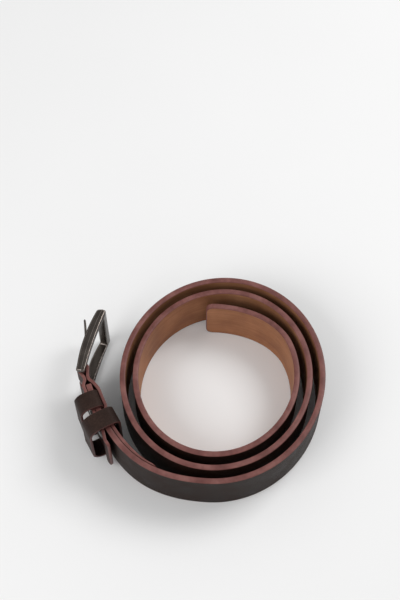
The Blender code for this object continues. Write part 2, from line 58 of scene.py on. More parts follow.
# Coil: a linear spiral, stretched along one slanted axis
COIL_CENTRE = np.array((11.95 * MM, 2.2 * MM))
COIL_SLANT = -0.29
COIL_STRETCH = 1.083
COIL_RADIUS = 67.9 * MM
COIL_PITCH = 8.2 * MM
COIL_START = math.radians(-77.9)
COIL_TURNS = 2.545
TIP_DIP = 3.2 * MM
TIP_DIP_FROM = 2.335
TIP_DIP_TURNS = 0.222
TIP_DIP_POWER = 1.3
COIL_PARTS = 4000

# Lead-in from the strap's square end to the coil
END_POINT = np.array((-71.05 * MM, -8.2 * MM))
END_ANGLE = math.radians(20.2)
END_HANDLE = 42 * MM
COIL_HANDLE = 45.5 * MM
RISE = 4.9 * MM
RISE_FLAT = 8 * MM
RISE_LENGTH = 112 * MM
LEAD_IN_PARTS = 400

# Chape
CHAPE_THICKNESS = 2.0 * MM
CHAPE_TAIL_THINNING = 0.45
FRONT_TAIL_AT = 42 * MM
BACK_TAIL_AT = 72 * MM
TAIL_STAND_OFF = 2.6 * MM
TAIL_LIFT_FROM = 30 * MM
TAIL_LIFT_LENGTH = 9 * MM
KEEPER_STEP_FROM = 18.2 * MM
KEEPER_STEP_LENGTH = 4.2 * MM
SKIVE_LENGTH = 26 * MM
BAR_CLEARANCE = 0.35 * MM
SLOT_HEIGHT = 8 * MM
SLOT_EDGE_AT = -4.8 * MM
PINCH_AT = -4.6 * MM
BAR_AT = -12 * MM
CHAPE_CORNER = 2.5 * MM
CHAPE_END_CLEARANCE = 0.05 * MM
STRAP_CORNER_AT = -0.4 * MM
CHAPE_STEP = 1 * MM
CHAPE_POINT_STEP = 0.4 * MM
SLOT_LEG_OFFSET = 1.2 * MM
SLOT_CUTTER_DEPTH = 12 * MM
SEAT_CUTTER_LENGTH = 4 * MM

# Points that guide the chape's line, by distance along the strap
FRONT_GUIDE_STEP = 4 * MM
FRONT_GUIDE_COUNT = 10
BACK_RISE_AT = 4.6 * MM
BACK_RISE_SHORT = 0.25 * MM
BACK_GUIDES = (8.5, 12.2, 16, 18, 20.6, 23, 26, 30, 34, 38)
TAIL_GUIDE_STEP = 5 * MM
TAIL_GUIDE_COUNT = 7
LOOP_STEPS = 8
BESIDE_FROM = -15 * MM
BESIDE_PAST = 1 * MM
BESIDE_STEP = 0.25 * MM

# Keepers: at, then back wall, front wall, half height, back corner, front corner and dome, inside
KEEPER_WIDTH = 12 * MM
KEEPER_THICKNESS = 1.6 * MM
KEEPER_JOINT = 0.4 * MM
KEEPER_ROOM = 0.4 * MM
KEEPER_CORNER_STEPS = 12
KEEPER_LOOP_POINTS = 240
KEEPER_STATIONS = 200
KEEPERS = {
    "fixed_keeper": (12.2 * MM, -2.2 * MM, 10.3 * MM, 18.9 * MM, 1.8 * MM, 5.5 * MM, 0.6 * MM),
    "loose_keeper": (27 * MM, -7.2 * MM, 11.4 * MM, 19.2 * MM, 3.4 * MM, 6 * MM, 0.7 * MM),
}

# Staple
WIRE_RADIUS = 0.4 * MM
STAPLE_HALF_CROWN = 3.4 * MM
STAPLE_BEND = 0.7 * MM
STAPLE_BEND_STEPS = 8
STAPLE_LEG_PROUD = 0.45 * MM
STAPLE_HOLE_GAP = 0.1 * MM

# Screw posts
POSTS = {"keeper": 12.2 * MM, "tail": 26.5 * MM}
POST_RADIUS = 2.0 * MM
POST_HEAD_RADIUS = 3.5 * MM
POST_HEAD_THICKNESS = 0.8 * MM
POST_BORE_RADIUS = 1.35 * MM
SCREW_RADIUS = 1.05 * MM
COUNTERBORE_DEPTH = 0.9 * MM
HEAD_PROUD = 0.2 * MM
BORE_FLOOR = 0.5 * MM
SCREW_END = -0.7 * MM
BARREL_SHORT = 0.1 * MM
THREAD_CHAMFER = 0.2 * MM
TURNED_CENTRE = 0.2 * MM
HEAD_EDGE = 0.3 * MM
HEAD_CROWN = 0.12 * MM
HEAD_CROWN_RADIUS = 2.0 * MM
HEAD_CROWN_SHOULDER = 0.06 * MM
DRIVER_SLOT = (8 * MM, 0.9 * MM, 0.8 * MM)
GAP = 0.3 * MM

# Buckle
FRAME_HEIGHT = 44 * MM
FRAME_CLEAR_HEIGHT = 36.8 * MM
FRAME_BEHIND_BAR = 4 * MM
FRAME_REACH = 42 * MM
FAR_BAR_WIDTH = 5.5 * MM
FRAME_HALF_DEPTH = 2.8 * MM
FRONT_BOW = 2.3 * MM
BACK_BOW = 1.0 * MM
FRAME_TURN = math.radians(14.8)
BAR_RADIUS = 1.7 * MM
BAR_SEAT_DEPTH = 2.4 * MM
BAR_END_EDGE = 0.3 * MM
END_CENTRE = 0.1 * MM
FAR_BAR_STEPS = 12
ARM_END_TAPER = (0.26, 0.17)
ARM_END_LENGTH = 0.6 * MM
FRAME_BEVEL = 0.24 * MM
PRONG_REACH = 44 * MM
PRONG_RING_RADIUS = 3.5 * MM
PRONG_RING_HEIGHT = 5 * MM
PRONG_RING_EDGE = 0.6 * MM
PRONG_BORE_REACH = 6 * MM
PRONG_OPEN = math.radians(12.5)
PRONG_START = 1.2 * MM
PRONG_TIP_EASE = 1.6 * MM
PRONG_HALF_THICKNESS = 1.15 * MM
PRONG_TIP_HALF_THICKNESS = 0.75 * MM
PRONG_HALF_HEIGHT = 2.2 * MM
PRONG_NARROWING = 0.38
PRONG_TIP_PART = 0.35
PRONG_SQUARENESS = 0.75
PRONG_OFFSET = 2.3 * MM
PRONG_DIP = 1.2 * MM
PRONG_TIP_LIFT = 2.0 * MM

# Buckle section: the outer ridge and its facets, then the bevels of the other corners
RIDGE_PART = 0.42
FACET_TURN = (0.62 * MM, 0.85 * MM)
FRONT_FLAT_FROM = 1.25 * MM
INNER_BEVEL = 0.7 * MM
BACK_BEVEL = 0.45 * MM
BACK_FLAT_TO = 0.75 * MM
BACK_FACET = (0.22 * MM, 0.5 * MM)

# Painted edges
STRAP_DOME = 0.5 * MM
CHAPE_DOME = 0.35 * MM
KEEPER_DOME = 0.25 * MM
BEAD_SQUARENESS = 0.8

# Looks
LEATHER_SHEEN = 0.22
LEATHER_TINT = (1.0, 0.82, 0.73, 1)
MIX_FIRST, MIX_SECOND, MIX_RESULT = 6, 7, 2

# Stage
FLOOR_HALF = 3.0
WORLD_STRENGTH = 0.5
CAMERA_LENS = 67.86
CAMERA_SENSOR = 36
CAMERA_AT = (-0.00055, -0.3094, 0.6903)
CAMERA_AIM = (-0.00055, 0.0553, 0.035)


def smoothstep(value):
    value = np.clip(value, 0.0, 1.0)
    return value * value * (3 - 2 * value)


# ---------------------------------------------------------------- the strap's centre line


def coil_points(turns):
    past = np.clip((turns - TIP_DIP_FROM) / TIP_DIP_TURNS, 0, None)
    radius = COIL_RADIUS - COIL_PITCH * turns - TIP_DIP * np.sin(math.pi * past**TIP_DIP_POWER)
    angle = COIL_START + math.tau * turns
    along = np.outer(radius * np.cos(angle), (math.cos(COIL_SLANT), math.sin(COIL_SLANT)))
    across = np.outer(radius * np.sin(angle), (-math.sin(COIL_SLANT), math.cos(COIL_SLANT)))
    return COIL_CENTRE + along + COIL_STRETCH * across


def lead_in_points(parts):
    coil = coil_points(np.array([0.0, 0.001]))
    coil_direction = (coil[1] - coil[0]) / np.linalg.norm(coil[1] - coil[0])
    corners = (
        END_POINT,
        END_POINT + END_HANDLE * np.array((math.sin(END_ANGLE), -math.cos(END_ANGLE))),
        coil[0] - COIL_HANDLE * coil_direction,
        coil[0],
    )
    left = 1 - parts
    weights = (left**3, 3 * left**2 * parts, 3 * left * parts**2, parts**3)
    return sum(np.outer(weight, corner) for weight, corner in zip(weights, corners))


def unit(vectors):
    return vectors / np.linalg.norm(vectors, axis=-1, keepdims=True)


class Route:
    """What a flat strip is bent along: its points, outer side and upward side, by distance."""

    def __init__(self, points, outer, up, distances=None):
        self.points, self.outer, self.up = points, outer, up
        if distances is None:
            steps = np.linalg.norm(np.diff(points, axis=0), axis=1)
            distances = np.concatenate([[0.0], np.cumsum(steps)])
        self.distances = distances
        self.length = float(distances[-1])

    def read(self, rows, at):
        return np.stack([np.interp(at, self.distances, rows[:, i]) for i in range(3)], axis=-1)

    def place(self, flat):
        """World places of points given as distance along, distance up and distance outwards."""
        at = flat[..., 0]
        upward = self.read(self.up, at) * flat[..., 1:2]
        outward = self.read(self.outer, at) * flat[..., 2:3]
        return self.read(self.points, at) + upward + outward

    def nearest(self, point):
        return float(self.distances[np.argmin(np.linalg.norm(self.points - point, axis=1))])


def centre_line():
    """Plan points of the strap's middle with their distances from its square end."""
    lead_in = lead_in_points(np.arange(LEAD_IN_PARTS) / LEAD_IN_PARTS)
    coil = coil_points(COIL_TURNS * np.arange(COIL_PARTS + 1) / COIL_PARTS)
    points = np.concatenate([lead_in, coil])
    steps = np.hypot(*np.diff(points, axis=0).T)
    return points, np.concatenate([[0.0], np.cumsum(steps)])


PLAN, PLAN_DISTANCES = centre_line()
STRAP_LENGTH = float(PLAN_DISTANCES[-1])


def plan_point(at):
    at = np.asarray(at, float)
    inside = np.clip(at, 0, STRAP_LENGTH)
    place = np.stack([np.interp(inside, PLAN_DISTANCES, PLAN[:, i]) for i in (0, 1)], axis=-1)
    start = np.array((math.sin(END_ANGLE), -math.cos(END_ANGLE)))
    return place + (at - inside)[..., None] * start


def plan_direction(at):
    reach = 0.5 * MM
    low = np.clip(np.asarray(at, float) - reach, 0.0, STRAP_LENGTH - 2 * reach)
    return unit(plan_point(low + 2 * reach) - plan_point(low))


def plan_outward(at):
    direction = plan_direction(at)
    return np.stack([direction[..., 1], -direction[..., 0]], axis=-1)


def plan_offset(at, outward):
    return plan_point(at) + np.asarray(outward)[..., None] * plan_outward(at)


def mid_height(at):
    return RISE * (1 - smoothstep((np.asarray(at) - RISE_FLAT) / RISE_LENGTH)) + STRAP_WIDTH / 2


def raised(plan, heights):
    return np.concatenate([plan, np.broadcast_to(heights, plan.shape[:-1])[..., None]], axis=-1)


def strap_route():
    at = np.arange(0, STRAP_LENGTH, ROUTE_STEP)
    at = np.append(at, STRAP_LENGTH)
    up = np.tile((0.0, 0.0, 1.0), (len(at), 1))
    return Route(raised(plan_point(at), mid_height(at)), raised(plan_outward(at), 0.0), up, at)


def strap_frame(at):
    """Placement with X along the strap, Y up and Z towards the belt's front."""
    direction = Vector((*plan_direction(at), 0))
    outward = Vector((*plan_outward(at), 0))
    turn = Matrix((direction, Vector((0, 0, 1)), outward)).transposed().to_4x4()
    return Matrix.Translation((*plan_point(at), float(mid_height(at)))) @ turn


# ---------------------------------------------------------------- meshes


def new_object(name, vertices, faces, finish, smooth_angle=40):
    mesh = bpy.data.meshes.new(name)
    mesh.from_pydata([tuple(v) for v in vertices], [], faces)
    mesh.validate()
    made = bpy.data.objects.new(name, mesh)
    bpy.context.scene.collection.objects.link(made)
    mesh.materials.append(finish)
    face_outwards(mesh)
    mesh.shade_smooth()
    mesh.set_sharp_from_angle(angle=math.radians(smooth_angle))
    return made


def face_outwards(mesh):
    work = bmesh.new()
    work.from_mesh(mesh)
    bmesh.ops.recalc_face_normals(work, faces=work.faces)
    work.to_mesh(mesh)
    work.free()


def apply_modifiers(made, smooth_angle=40):
    graph = bpy.context.evaluated_depsgraph_get()
    mesh = bpy.data.meshes.new_from_object(made.evaluated_get(graph))
    made.modifiers.clear()
    made.data = mesh
    mesh.shade_smooth()
    mesh.set_sharp_from_angle(angle=math.radians(smooth_angle))


def combine(made, tool, operation):
    """Cuts the tool from the object, or joins it on, and removes the tool."""
    boolean = made.modifiers.new(operation.lower(), "BOOLEAN")
    boolean.operation = operation
    boolean.object = tool
    bpy.context.view_layer.update()
    apply_modifiers(made)
    bpy.data.objects.remove(tool)


def grid_faces(rows, columns, closed_rows=False, closed_columns=False):
    """Quads over a grid of rows by columns of vertices."""
    faces = []
    for i in range(rows if closed_rows else rows - 1):
        for j in range(columns if closed_columns else columns - 1):
            a, b = i * columns, (i + 1) % rows * columns
            k = (j + 1) % columns
            faces.append((a + j, b + j, b + k, a + k))
    return faces


def flat_strip(name, finish, stations, half_heights, low, high, columns=6):
    """A flat band: X along it, Y across it, Z from low to high at each station."""
    across = np.linspace(-1, 1, columns + 1)
    count = columns + 1
    low, high = np.broadcast_to(low, len(stations)), np.broadcast_to(high, len(stations))
    rows = []
    for at, half, bottom, top in zip(stations, half_heights, low, high):
        rows += [(at, half * part, top) for part in across]
        rows += [(at, half * part, bottom) for part in across[::-1]]
    faces = grid_faces(len(stations), 2 * count, closed_columns=True)
    for base in (0, (len(stations) - 1) * 2 * count):
        for j in range(columns):
            faces.append(
                (base + j, base + j + 1, base + 2 * count - 2 - j, base + 2 * count - 1 - j)
            )
    return new_object(name, rows, faces, finish, 50)


def punch(made, at, up, radius, depth=8 * MM, segments=40, middle=0.0):
    """A round hole in a flat band: right through, unless its middle is moved out."""
    work = bmesh.new()
    bmesh.ops.create_cone(
        work, cap_ends=True, segments=segments, radius1=radius, radius2=radius, depth=depth
    )
    mesh = bpy.data.meshes.new("punch")
    work.to_mesh(mesh)
    work.free()
    tool = bpy.data.objects.new("punch", mesh)
    bpy.context.scene.collection.objects.link(tool)
    tool.location = (at, up, middle)
    combine(made, tool, "DIFFERENCE")


def bend(made, route):
    """Keeps the flat layout as a UV map in metres, then bends the flat band along its route."""
    mesh = made.data
    flat = np.empty(len(mesh.vertices) * 3)
    mesh.vertices.foreach_get("co", flat)
    flat = flat.reshape(-1, 3)
    corners = np.empty(len(mesh.loops), int)
    mesh.loops.foreach_get("vertex_index", corners)
    layout = mesh.uv_layers.new(name="flat_layout")
    layout.data.foreach_set("uv", flat[corners][:, :2].reshape(-1))
    mesh.vertices.foreach_set("co", route.place(flat).reshape(-1))
    mesh.update()
    face_outwards(mesh)
    return made


def edge_bead(name, finish, outlines, half_thickness, dome):
    """Edge paint: a domed bead over each outline of (x, y, outward x, outward y, closed)."""
    vertices, faces = [], []
    turns = np.radians(np.linspace(-90, 90, 11))
    depth = np.sign(np.sin(turns)) * np.abs(np.sin(turns)) ** BEAD_SQUARENESS
    reach = np.abs(np.cos(turns)) ** BEAD_SQUARENESS
    reach[[0, -1]] = 0.0
    for outline, closed in outlines:
        base = len(vertices)
        for x, y, out_x, out_y in outline:
            thick = half_thickness(x)
            for out, z in zip(reach * dome, depth * thick):
                vertices.append((x + out_x * out, y + out_y * out, z))
        count = len(turns)
        made = grid_faces(len(outline), count, closed, True)
        if not closed:
            made.append(tuple(range(count)))
            made.append(tuple(range((len(outline) - 1) * count, len(outline) * count)))
        faces += [tuple(base + i for i in face) for face in made]
    return new_object(name, vertices, faces, finish, 60)


def arc(centre, radius, start, end, steps):
    """Outline points round a corner, with their outward directions."""
    points = []
    for i in range(steps + 1):
        angle = math.radians(start + (end - start) * i / steps)
        out = (math.cos(angle), math.sin(angle))
        points.append((centre[0] + radius * out[0], centre[1] + radius * out[1], *out))
    return points


def run(start, end, y, out_y, step=STRIP_STEP):
    """Outline points along a straight edge at height y."""
    count = max(1, round(abs(end - start) / step))
    return [(start + (end - start) * i / count, y, 0.0, out_y) for i in range(1, count)]


def revolve(name, finish, profile, place, steps=64):
    """A profile of (radius, height) turned about the placement's Z."""
    angles = np.arange(steps) * math.tau / steps
    vertices = [
        (radius * math.cos(angle), radius * math.sin(angle), height)
        for radius, height in profile
        for angle in angles
    ]
    faces = grid_faces(len(profile), steps, closed_columns=True)
    faces.append(tuple(range(steps)))
    faces.append(tuple(range((len(profile) - 1) * steps, len(profile) * steps)))
    made = new_object(name, vertices, faces, finish, 35)
    made.data.transform(place)
    return made


def rounded(radius, height, edge, sign):
    """Profile points of an outer edge rounded off, from the end face to the side."""
    points = []
    for i in range(5):
        angle = math.radians(22.5 * i)
        side = radius - edge + edge * math.sin(angle)
        points.append((side, height - sign * edge * (1 - math.cos(angle))))
    return points


def belongs(made, body, slot, *nodes):
    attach(made, body)
    if nodes:
        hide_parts(*nodes)
    return made


# ---------------------------------------------------------------- materials


class Finish:
    """A procedural Principled material, built step by step."""

    def __init__(self, name, roughness, metallic=0.0, specular=0.5, coat=0.0, ior=1.5):
        self.material = bpy.data.materials.new(name)
        self.material.use_nodes = True
        self.tree = self.material.node_tree
        self.shader = self.tree.nodes["Principled BSDF"]
        self.shader.inputs["Metallic"].default_value = metallic
        self.shader.inputs["Roughness"].default_value = roughness
        self.shader.inputs["Specular IOR Level"].default_value = specular
        self.shader.inputs["Coat Weight"].default_value = coat
        self.shader.inputs["Coat Roughness"].default_value = 0.3
        self.shader.inputs["IOR"].default_value = ior
        self.normal = None

    def node(self, kind, **inputs):
        made = self.tree.nodes.new(kind)
        for name, value in inputs.items():
            socket = made.inputs[name.replace("_", " ")]
            if hasattr(value, "is_output"):
                self.tree.links.new(value, socket)
            else:
                socket.default_value = value
        return made

    def places(self, along=1.0, across=1.0, flat=False):
        """Where the pattern is read: the object's own metres, or the flat layout's."""
        if flat:
            source = self.node("ShaderNodeUVMap")
            source.uv_map = "flat_layout"
            output = source.outputs["UV"]
        else:
            output = self.node("ShaderNodeTexCoord").outputs["Object"]
        scaled = self.node("ShaderNodeMapping", Vector=output, Scale=(along, across, 1.0))
        return scaled.outputs["Vector"]

    def noise(self, places, scale, detail=4.0, roughness=0.55):
        made = self.node(
            "ShaderNodeTexNoise", Vector=places, Scale=scale, Detail=detail, Roughness=roughness
        )
        return made.outputs["Fac"]

    def cells(self, places, scale):
        made = self.node("ShaderNodeTexVoronoi", Vector=places, Scale=scale)
        made.feature = "DISTANCE_TO_EDGE"
        return made.outputs["Distance"]

    def spread(self, value, low, high, to_low=0.0, to_high=1.0):
        made = self.node("ShaderNodeMapRange", Value=value)
        made.inputs["From Min"].default_value = low
        made.inputs["From Max"].default_value = high
        made.inputs["To Min"].default_value = to_low
        made.inputs["To Max"].default_value = to_high
        return made.outputs["Result"]

    def tones(self, value, stops):
        ramp = self.node("ShaderNodeValToRGB", Fac=value)
        elements = ramp.color_ramp.elements
        while len(elements) < len(stops):
            elements.new(0.5)
        for element, (place, colour) in zip(elements, stops):
            element.position = place
            element.color = (*colour, 1)
        return ramp.outputs["Color"]

    def multiply(self, first, second):
        made = self.tree.nodes.new("ShaderNodeMix")
        made.data_type = "RGBA"
        made.blend_type = "MULTIPLY"
        made.inputs["Factor"].default_value = 1.0
        self.tree.links.new(first, made.inputs[MIX_FIRST])
        self.tree.links.new(second, made.inputs[MIX_SECOND])
        return made.outputs[MIX_RESULT]

    def bump(self, height, depth, strength=1.0):
        made = self.node("ShaderNodeBump", Height=height, Distance=depth, Strength=strength)
        if self.normal:
            self.tree.links.new(self.normal, made.inputs["Normal"])
        self.normal = made.outputs["Normal"]

    def done(self, colour, roughness=None):
        self.tree.links.new(colour, self.shader.inputs["Base Color"])
        if roughness is not None:
            self.tree.links.new(roughness, self.shader.inputs["Roughness"])
        if self.normal:
            self.tree.links.new(self.normal, self.shader.inputs["Normal"])
        return self.material


def leather(name, dark, light, roughness, grain, depth, flat=True):
    """Finished leather: mottled colour, a fine pebbled grain and a soft, uneven polish."""
    made = Finish(name, roughness, specular=LEATHER_SHEEN, ior=1.34)
    made.shader.inputs["Specular Tint"].default_value = LEATHER_TINT
    places = made.places(flat=flat)
    mottle = made.noise(places, 70.0, 5.0)
    pores = made.noise(places, 900.0, 3.0)
    colour = made.tones(made.spread(mottle, 0.34, 0.68), ((0.0, dark), (1.0, light)))
    speck = made.tones(
        made.spread(pores, 0.35, 0.65), ((0.0, (0.72, 0.72, 0.72)), (1.0, (1.12, 1.12, 1.12)))
    )
    colour = made.multiply(colour, speck)
    pebbles = made.spread(made.cells(places, grain), 0.0, 0.22)
    made.bump(pebbles, depth, 0.55)
    made.bump(mottle, 0.25 * MM, 0.25)
    polish = made.spread(mottle, 0.3, 0.7, roughness - 0.07, roughness + 0.07)
    return made.done(colour, polish)


def lining_leather():
    """Smooth vegetable-tanned lining: warm tan brown, faint lengthwise streaks, almost matt."""
    made = Finish("lining_leather", 0.6, specular=0.35, ior=1.35)
    places = made.places(flat=True)
    streaks = made.noise(made.places(28.0, 420.0, flat=True), 1.0, 6.0, 0.6)
    cloud = made.noise(places, 38.0, 4.0)
    fibre = made.noise(places, 1500.0, 2.0)
    colour = made.tones(
        made.spread(cloud, 0.32, 0.7),
        ((0.0, (0.26, 0.107, 0.050)), (0.5, (0.345, 0.152, 0.073)), (1.0, (0.42, 0.197, 0.10))),
    )
    tint = made.tones(
        made.spread(streaks, 0.3, 0.7), ((0.0, (0.86, 0.84, 0.82)), (1.0, (1.1, 1.1, 1.1)))
    )
    colour = made.multiply(colour, tint)
    made.bump(fibre, 0.05 * MM, 0.6)
    made.bump(streaks, 0.08 * MM, 0.4)
    return made.done(colour, made.spread(cloud, 0.3, 0.7, 0.54, 0.66))


def edge_paint(name, darker):
    """Sanded and painted leather edges: reddish brown, satin, slightly rippled."""
    made = Finish(name, 0.44, specular=0.35, coat=0.04, ior=1.38)
    places = made.places(flat=False)
    cloud = made.noise(places, 90.0, 4.0)
    ripple = made.noise(places, 420.0, 3.0)
    low = tuple(darker * c for c in (0.120, 0.043, 0.037))
    middle = tuple(darker * c for c in (0.172, 0.065, 0.057))
    high = tuple(darker * c for c in (0.218, 0.094, 0.081))
    colour = made.tones(made.spread(cloud, 0.3, 0.7), ((0.0, low), (0.5, middle), (1.0, high)))
    wear = made.tones(
        made.spread(ripple, 0.3, 0.75), ((0.0, (0.8, 0.78, 0.78)), (1.0, (1.1, 1.1, 1.1)))
    )
    colour = made.multiply(colour, wear)
    made.bump(ripple, 0.10 * MM, 0.5)
    return made.done(colour, made.spread(cloud, 0.3, 0.7, 0.36, 0.5))


def dark_metal(name, dark, light, roughness):
    """Plated metal with a fine brushed finish and slightly uneven polish."""
    made = Finish(name, roughness, metallic=1.0)
    places = made.places(flat=False)
    cloud = made.noise(places, 120.0, 3.0)
    brush = made.noise(made.places(900.0, 900.0), 1.0, 3.0)
    colour = made.tones(made.spread(cloud, 0.3, 0.7), ((0.0, dark), (1.0, light)))
    made.bump(brush, 0.004 * MM, 0.3)
    return made.done(colour, made.spread(cloud, 0.3, 0.7, roughness - 0.03, roughness + 0.04))


# Strap face: dark brown leather, made darker still than the keeper and chape leather, which paints shade
# over the whole face
FACE = leather("face_leather", (0.010, 0.005, 0.004), (0.022, 0.011, 0.008), 0.50, 1150.0, 0.10 * MM)
CHAPE = leather("chape_leather", (0.024, 0.011, 0.009), (0.046, 0.021, 0.017), 0.48, 1150.0, 0.09 * MM)
KEEPER = leather("keeper_leather", (0.021, 0.012, 0.010), (0.036, 0.021, 0.017), 0.50, 1300.0, 0.07 * MM)
LINING = lining_leather()
PAINT = edge_paint("edge_paint", 1.0)
DARK_PAINT = edge_paint("keeper_edge_paint", 0.55)
GUNMETAL = dark_metal("gunmetal", (0.070, 0.060, 0.054), (0.115, 0.098, 0.086), 0.24)
# Lighter gunmetal for the frame's bevel faces: a painted highlight line along every edge, partly edge wear
# too
EDGE_WEAR_AND_HIGHLIGHT = dark_metal("gunmetal_edge_wear_and_highlight", (0.26, 0.22, 0.20), (0.38, 0.33, 0.30), 0.30)
STEEL = dark_metal("steel", (0.30, 0.29, 0.28), (0.44, 0.43, 0.42), 0.30)
BOARD = leather("board", (0.20, 0.14, 0.09), (0.32, 0.23, 0.15), 0.85, 2200.0, 0.03 * MM, flat=False)


# ---------------------------------------------------------------- strap


def tip_stations():
    """Distances along the strap, closer together where the tip's corners round off."""
    count = round((STRAP_LENGTH - TIP_RADIUS) / STRIP_STEP)
    even = np.arange(count) * (STRAP_LENGTH - TIP_RADIUS) / count
    corner = STRAP_LENGTH - TIP_RADIUS * (1 - np.sin(np.radians(np.arange(0, 91, 7.5))))
    return np.concatenate([even, corner])


def build_strap():
    route = strap_route()
    stations = tip_stations()
    left = np.clip(STRAP_LENGTH - stations, 0, TIP_RADIUS)
    inset = TIP_RADIUS - np.sqrt(TIP_RADIUS**2 - (TIP_RADIUS - left) ** 2)
    halves = STRAP_WIDTH / 2 - STRAP_DOME - inset
    shortened = stations * (STRAP_LENGTH - STRAP_DOME) / STRAP_LENGTH
    half = STRAP_THICKNESS / 2
    layers = {
        "strap_face": ("strap_face_leather", FACE, half - FACE_THICKNESS, half, "face_leather"),
        "strap_lining": ("strap_lining_leather", LINING, -half, LINING_THICKNESS - half, "lining_leather"),
    }
    holes = [STRAP_LENGTH - FIRST_HOLE_FROM_TIP - i * HOLE_SPACING for i in range(HOLE_COUNT)]
    for node, (name, finish, low, high, slot) in layers.items():
        layer = flat_strip(name, finish, shortened, halves, low, high)
        for at in holes:
            punch(layer, at, 0, HOLE_RADIUS)
        for at in POSTS.values():
            punch(layer, at, 0, POST_RADIUS + GAP)
        belongs(bend(layer, route), "strap", slot, node)
    top = STRAP_WIDTH / 2 - STRAP_DOME
    end = STRAP_LENGTH - STRAP_DOME
    corner = TIP_RADIUS - STRAP_DOME
    outline = [(0.0, top, 0.0, 1.0), *run(0, end - corner, top, 1.0)]
    outline += arc((end - corner, top - corner), corner, 90, 0, 10)
    outline += arc((end - corner, corner - top), corner, 0, -90, 10)
    outline += [*run(end - corner, 0, -top, -1.0), (0.0, -top, 0.0, -1.0)]
    bead = edge_bead("strap_painted_edge", PAINT, [(outline, False)], lambda x: half, STRAP_DOME)
    belongs(bend(bead, route), "strap", "edge_paint")
    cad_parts["strap_board"].data.materials.clear()
    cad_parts["strap_board"].data.materials.append(BOARD)


# ---------------------------------------------------------------- chape


def tail_weight(at):
    thinned = smoothstep((at - BACK_TAIL_AT + SKIVE_LENGTH) / SKIVE_LENGTH)
    return 1 - (1 - CHAPE_TAIL_THINNING) * thinned


def front_leg(at):
    contact = STRAP_THICKNESS / 2 + GAP + CHAPE_THICKNESS / 2
    return contact + TAIL_STAND_OFF * smoothstep((at - TAIL_LIFT_FROM) / TAIL_LIFT_LENGTH)


def back_leg(at):
    contact = STRAP_THICKNESS / 2 + GAP + CHAPE_THICKNESS * tail_weight(at) / 2
    round_keeper = KEEPER_THICKNESS + KEEPER_ROOM
    return contact + round_keeper * (1 - smoothstep((at - KEEPER_STEP_FROM) / KEEPER_STEP_LENGTH))


def spline_through(points, step):
    """Points about step apart on a smooth curve through the given ones."""
    padded = [2 * points[0] - points[1], *points, 2 * points[-1] - points[-2]]
    made = []
    for before, start, end, after in zip(padded, padded[1:], padded[2:], padded[3:]):
        count = max(1, round(float(np.linalg.norm(end - start)) / step))
        for i in range(count):
            t = i / count
            made.append(
                0.5
                * (
                    2 * start
                    + (end - before) * t
                    + (2 * before - 5 * start + 4 * end - after) * t**2
                    + (3 * start - before - 3 * end + after) * t**3
                )
            )
    return np.array([*made, points[-1]])


def chape_route():
    """The chape's middle: front tail, pinch, round the heel bar, pinch, back tail."""
    loop_radius = BAR_RADIUS + BAR_CLEARANCE + CHAPE_THICKNESS / 2
    pinch = CHAPE_THICKNESS / 2 + GAP / 2
    front_end = STRAP_THICKNESS / 2 + GAP + CHAPE_THICKNESS / 2 + CHAPE_END_CLEARANCE
    reach = math.hypot(PINCH_AT - BAR_AT, pinch)
    meet = math.atan2(pinch, PINCH_AT - BAR_AT) + math.acos(loop_radius / reach)
    front = [FRONT_TAIL_AT - i * FRONT_GUIDE_STEP for i in range(FRONT_GUIDE_COUNT)]
    back = [at * MM for at in BACK_GUIDES]
    back += [BACK_TAIL_AT - i * TAIL_GUIDE_STEP for i in reversed(range(TAIL_GUIDE_COUNT))]
    corners = [plan_offset(at, front_leg(at)) for at in front]
    corners += [plan_offset(STRAP_CORNER_AT, front_end), plan_offset(PINCH_AT, pinch)]
    for i in range(LOOP_STEPS + 1):
        angle = meet + (2 * math.pi - 2 * meet) * i / LOOP_STEPS
        corners.append(
            plan_offset(BAR_AT + loop_radius * math.cos(angle), loop_radius * math.sin(angle))
        )
    corners += [plan_offset(PINCH_AT, -pinch), plan_offset(STRAP_CORNER_AT, -front_end)]
    corners += [plan_offset(BACK_RISE_AT, -back_leg(BACK_RISE_AT) + BACK_RISE_SHORT)]
    corners += [plan_offset(at, -back_leg(at)) for at in back]
    plan = spline_through(corners, CHAPE_POINT_STEP)
    tangents = unit(np.gradient(plan, axis=0))
    outer = np.stack([-tangents[:, 1], tangents[:, 0]], axis=1)
    ats = np.arange(BESIDE_FROM, BACK_TAIL_AT + BESIDE_PAST, BESIDE_STEP)
    beside = plan_point(ats)
    strap_at = ats[[int(np.argmin(np.hypot(*(beside - p).T))) for p in plan]]
    points = raised(plan, mid_height(strap_at))
    up = np.tile((0.0, 0.0, 1.0), (len(plan), 1))
    return Route(points, raised(outer, 0.0), up), strap_at


